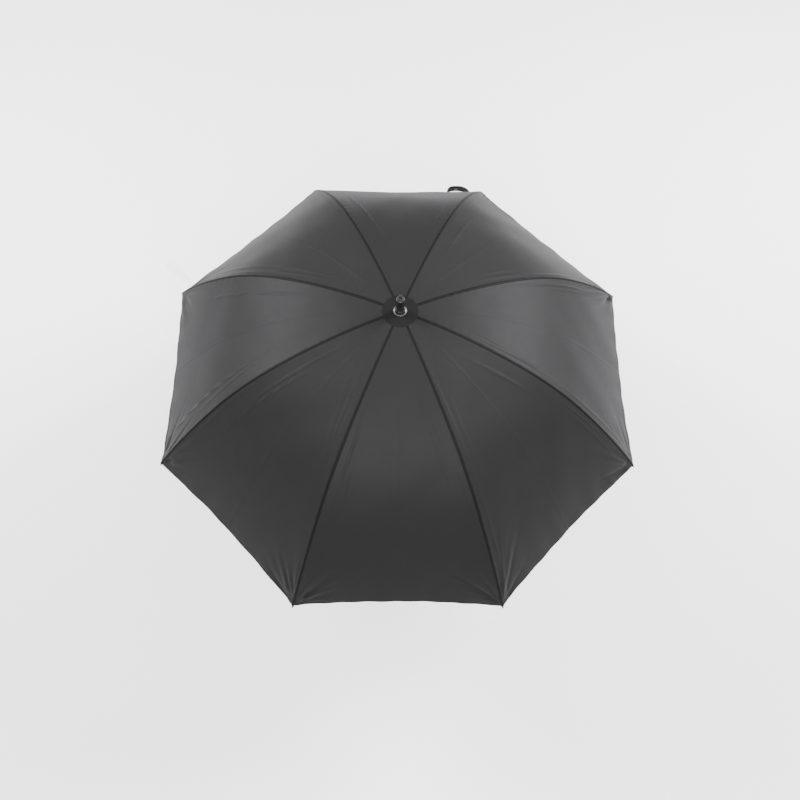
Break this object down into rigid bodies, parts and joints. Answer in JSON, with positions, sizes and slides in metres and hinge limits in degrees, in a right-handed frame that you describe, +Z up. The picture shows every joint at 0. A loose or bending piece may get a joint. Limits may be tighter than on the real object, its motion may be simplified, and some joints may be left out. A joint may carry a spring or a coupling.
{
  "type": "golf umbrella",
  "caption": "Large stick umbrella with a dark gored canopy on folding ribs, a sliding runner, spring catches, a ferrule and a straight foam grip.",
  "frame": {"origin": "middle of the foam grip, on the shaft's axis", "axes": "+Z up the shaft from the grip to the ferrule; +X and +Y point at the middles of two hems; stored open"},
  "size_m": [1.2242, 1.1847, 0.98],
  "materials": {
    "canopy_cloth": "satin woven polyester, slightly see-through",
    "strap_cloth": "matt woven",
    "label_cloth": "satin ribbon",
    "shaft": "semi-gloss black",
    "arm_metal": "black electro-coat",
    "rod": "dark glass-fibre rod",
    "steel": "bright wire",
    "chrome": "polished",
    "ferrule": "gloss black",
    "plastic": "moulded, fine grain",
    "foam": "matt foam"
  },
  "bodies": {
    "shaft": {"shaft_tube": "shaft", "handle_grip": "foam", "handle_end_cap": "plastic", "handle_collar": "plastic", "stop_pin": "steel", "top_notch": "plastic", "notch_wire": "steel", "crown_patch": "canopy_cloth", "crown_ring": "chrome", "ferrule": "ferrule", "ferrule_tip": "plastic"},
    "rib_1": {"rib_1_inner": "arm_metal", "canopy_panel_1": "canopy_cloth"},
    "rod_1": {"rib_1_outer": "rod", "rib_1_tip": "plastic"},
    "stretcher_1": {"stretcher_1": "arm_metal"},
    "rib_2": {"rib_2_inner": "arm_metal", "canopy_panel_2": "canopy_cloth"},
    "rod_2": {"rib_2_outer": "rod", "rib_2_tip": "plastic", "closure_strap": "strap_cloth", "strap_snap": "steel"},
    "stretcher_2": {"stretcher_2": "arm_metal"},
    "rib_3": {"rib_3_inner": "arm_metal", "canopy_panel_3": "canopy_cloth"},
    "rod_3": {"rib_3_outer": "rod", "rib_3_tip": "plastic"},
    "stretcher_3": {"stretcher_3": "arm_metal"},
    "rib_4": {"rib_4_inner": "arm_metal", "canopy_panel_4": "canopy_cloth"},
    "rod_4": {"rib_4_outer": "rod", "rib_4_tip": "plastic"},
    "stretcher_4": {"stretcher_4": "arm_metal"},
    "rib_5": {"rib_5_inner": "arm_metal", "canopy_panel_5": "canopy_cloth"},
    "rod_5": {"rib_5_outer": "rod", "rib_5_tip": "plastic"},
    "stretcher_5": {"stretcher_5": "arm_metal"},
    "rib_6": {"rib_6_inner": "arm_metal", "canopy_panel_6": "canopy_cloth"},
    "rod_6": {"rib_6_outer": "rod", "rib_6_tip": "plastic"},
    "stretcher_6": {"stretcher_6": "arm_metal"},
    "rib_7": {"rib_7_inner": "arm_metal", "canopy_panel_7": "canopy_cloth"},
    "rod_7": {"rib_7_outer": "rod", "rib_7_tip": "plastic"},
    "stretcher_7": {"stretcher_7": "arm_metal"},
    "rib_8": {"rib_8_inner": "arm_metal", "canopy_panel_8": "canopy_cloth"},
    "rod_8": {"rib_8_outer": "rod", "rib_8_tip": "plastic", "care_label": "label_cloth"},
    "stretcher_8": {"stretcher_8": "arm_metal"},
    "runner": {"runner": "plastic", "runner_wire": "steel"},
    "top_catch": {"top_catch": "steel"},
    "hand_catch": {"hand_catch": "steel"}
  },
  "joints": [
    {"name": "canopy_fold", "type": "hinge", "parent": "shaft", "child": "rib_1", "pos_m": [-0.00459, 0.01109, 0.83], "axis": [-0.9239, -0.3827, 0], "range_deg": [0, 75.46], "deforming": ["canopy_panel_1", "canopy_panel_2", "canopy_panel_3", "canopy_panel_4", "canopy_panel_5", "canopy_panel_6", "canopy_panel_7", "canopy_panel_8", "closure_strap", "care_label"]},
    {"name": "rod_1_flex", "type": "hinge", "parent": "rib_1", "child": "rod_1", "pos_m": [-0.11744, 0.28352, 0.77819], "axis": [-0.9239, -0.3827, 0], "range_deg": [-29.49, 0]},
    {"name": "stretcher_1_fold", "type": "hinge", "parent": "rib_1", "child": "stretcher_1", "pos_m": [-0.11331, 0.27356, 0.772], "axis": [-0.9239, -0.3827, 0], "range_deg": [-150.92, 0]},
    {"name": "rib_2_fold", "type": "hinge", "parent": "shaft", "child": "rib_2", "pos_m": [0.00459, 0.01109, 0.83], "axis": [-0.9239, 0.3827, 0], "range_deg": [0, 75.46]},
    {"name": "rod_2_flex", "type": "hinge", "parent": "rib_2", "child": "rod_2", "pos_m": [0.11744, 0.28352, 0.77819], "axis": [-0.9239, 0.3827, 0], "range_deg": [-29.49, 0]},
    {"name": "stretcher_2_fold", "type": "hinge", "parent": "rib_2", "child": "stretcher_2", "pos_m": [0.11331, 0.27356, 0.772], "axis": [-0.9239, 0.3827, 0], "range_deg": [-150.92, 0]},
    {"name": "rib_3_fold", "type": "hinge", "parent": "shaft", "child": "rib_3", "pos_m": [0.01109, 0.00459, 0.83], "axis": [-0.3827, 0.9239, 0], "range_deg": [0, 75.46]},
    {"name": "rod_3_flex", "type": "hinge", "parent": "rib_3", "child": "rod_3", "pos_m": [0.28352, 0.11744, 0.77819], "axis": [-0.3827, 0.9239, 0], "range_deg": [-29.49, 0]},
    {"name": "stretcher_3_fold", "type": "hinge", "parent": "rib_3", "child": "stretcher_3", "pos_m": [0.27356, 0.11331, 0.772], "axis": [-0.3827, 0.9239, 0], "range_deg": [-150.92, 0]},
    {"name": "rib_4_fold", "type": "hinge", "parent": "shaft", "child": "rib_4", "pos_m": [0.01109, -0.00459, 0.83], "axis": [0.3827, 0.9239, 0], "range_deg": [0, 75.46]},
    {"name": "rod_4_flex", "type": "hinge", "parent": "rib_4", "child": "rod_4", "pos_m": [0.28352, -0.11744, 0.77819], "axis": [0.3827, 0.9239, 0], "range_deg": [-29.49, 0]},
    {"name": "stretcher_4_fold", "type": "hinge", "parent": "rib_4", "child": "stretcher_4", "pos_m": [0.27356, -0.11331, 0.772], "axis": [0.3827, 0.9239, 0], "range_deg": [-150.92, 0]},
    {"name": "rib_5_fold", "type": "hinge", "parent": "shaft", "child": "rib_5", "pos_m": [0.00459, -0.01109, 0.83], "axis": [0.9239, 0.3827, 0], "range_deg": [0, 75.46]},
    {"name": "rod_5_flex", "type": "hinge", "parent": "rib_5", "child": "rod_5", "pos_m": [0.11744, -0.28352, 0.77819], "axis": [0.9239, 0.3827, 0], "range_deg": [-29.49, 0]},
    {"name": "stretcher_5_fold", "type": "hinge", "parent": "rib_5", "child": "stretcher_5", "pos_m": [0.11331, -0.27356, 0.772], "axis": [0.9239, 0.3827, 0], "range_deg": [-150.92, 0]},
    {"name": "rib_6_fold", "type": "hinge", "parent": "shaft", "child": "rib_6", "pos_m": [-0.00459, -0.01109, 0.83], "axis": [0.9239, -0.3827, 0], "range_deg": [0, 75.46]},
    {"name": "rod_6_flex", "type": "hinge", "parent": "rib_6", "child": "rod_6", "pos_m": [-0.11744, -0.28352, 0.77819], "axis": [0.9239, -0.3827, 0], "range_deg": [-29.49, 0]},
    {"name": "stretcher_6_fold", "type": "hinge", "parent": "rib_6", "child": "stretcher_6", "pos_m": [-0.11331, -0.27356, 0.772], "axis": [0.9239, -0.3827, 0], "range_deg": [-150.92, 0]},
    {"name": "rib_7_fold", "type": "hinge", "parent": "shaft", "child": "rib_7", "pos_m": [-0.01109, -0.00459, 0.83], "axis": [0.3827, -0.9239, 0], "range_deg": [0, 75.46]},
    {"name": "rod_7_flex", "type": "hinge", "parent": "rib_7", "child": "rod_7", "pos_m": [-0.28352, -0.11744, 0.77819], "axis": [0.3827, -0.9239, 0], "range_deg": [-29.49, 0]},
    {"name": "stretcher_7_fold", "type": "hinge", "parent": "rib_7", "child": "stretcher_7", "pos_m": [-0.27356, -0.11331, 0.772], "axis": [0.3827, -0.9239, 0], "range_deg": [-150.92, 0]},
    {"name": "rib_8_fold", "type": "hinge", "parent": "shaft", "child": "rib_8", "pos_m": [-0.01109, 0.00459, 0.83], "axis": [-0.3827, -0.9239, 0], "range_deg": [0, 75.46]},
    {"name": "rod_8_flex", "type": "hinge", "parent": "rib_8", "child": "rod_8", "pos_m": [-0.28352, 0.11744, 0.77819], "axis": [-0.3827, -0.9239, 0], "range_deg": [-29.49, 0]},
    {"name": "stretcher_8_fold", "type": "hinge", "parent": "rib_8", "child": "stretcher_8", "pos_m": [-0.27356, 0.11331, 0.772], "axis": [-0.3827, -0.9239, 0], "range_deg": [-150.92, 0]},
    {"name": "runner_upright", "type": "hinge", "parent": "stretcher_1", "child": "runner", "pos_m": [-0.00459, 0.01109, 0.714], "axis": [-0.9239, -0.3827, 0], "range_deg": [0, 75.46]},
    {"name": "top_catch_press", "type": "hinge", "parent": "shaft", "child": "top_catch", "pos_m": [0.0056, 0, 0.6851], "axis": [0, -1, 0], "range_deg": [0, 12], "stiffness_Nm_per_rad": 0.5},
    {"name": "hand_catch_press", "type": "hinge", "parent": "shaft", "child": "hand_catch", "pos_m": [-0.0035, 0, 0.20388], "axis": [0, -1, 0], "range_deg": [0, 21], "stiffness_Nm_per_rad": 0.5}
  ],
  "couplings": [
    {"joint": "rod_1_flex", "follows": "canopy_fold", "ratio": -0.39085},
    {"joint": "stretcher_1_fold", "follows": "canopy_fold", "ratio": -2},
    {"joint": "rib_2_fold", "follows": "canopy_fold", "ratio": 1},
    {"joint": "rod_2_flex", "follows": "canopy_fold", "ratio": -0.39085},
    {"joint": "stretcher_2_fold", "follows": "canopy_fold", "ratio": -2},
    {"joint": "rib_3_fold", "follows": "canopy_fold", "ratio": 1},
    {"joint": "rod_3_flex", "follows": "canopy_fold", "ratio": -0.39085},
    {"joint": "stretcher_3_fold", "follows": "canopy_fold", "ratio": -2},
    {"joint": "rib_4_fold", "follows": "canopy_fold", "ratio": 1},
    {"joint": "rod_4_flex", "follows": "canopy_fold", "ratio": -0.39085},
    {"joint": "stretcher_4_fold", "follows": "canopy_fold", "ratio": -2},
    {"joint": "rib_5_fold", "follows": "canopy_fold", "ratio": 1},
    {"joint": "rod_5_flex", "follows": "canopy_fold", "ratio": -0.39085},
    {"joint": "stretcher_5_fold", "follows": "canopy_fold", "ratio": -2},
    {"joint": "rib_6_fold", "follows": "canopy_fold", "ratio": 1},
    {"joint": "rod_6_flex", "follows": "canopy_fold", "ratio": -0.39085},
    {"joint": "stretcher_6_fold", "follows": "canopy_fold", "ratio": -2},
    {"joint": "rib_7_fold", "follows": "canopy_fold", "ratio": 1},
    {"joint": "rod_7_flex", "follows": "canopy_fold", "ratio": -0.39085},
    {"joint": "stretcher_7_fold", "follows": "canopy_fold", "ratio": -2},
    {"joint": "rib_8_fold", "follows": "canopy_fold", "ratio": 1},
    {"joint": "rod_8_flex", "follows": "canopy_fold", "ratio": -0.39085},
    {"joint": "stretcher_8_fold", "follows": "canopy_fold", "ratio": -2},
    {"joint": "runner_upright", "follows": "canopy_fold", "ratio": 1}
  ]
}
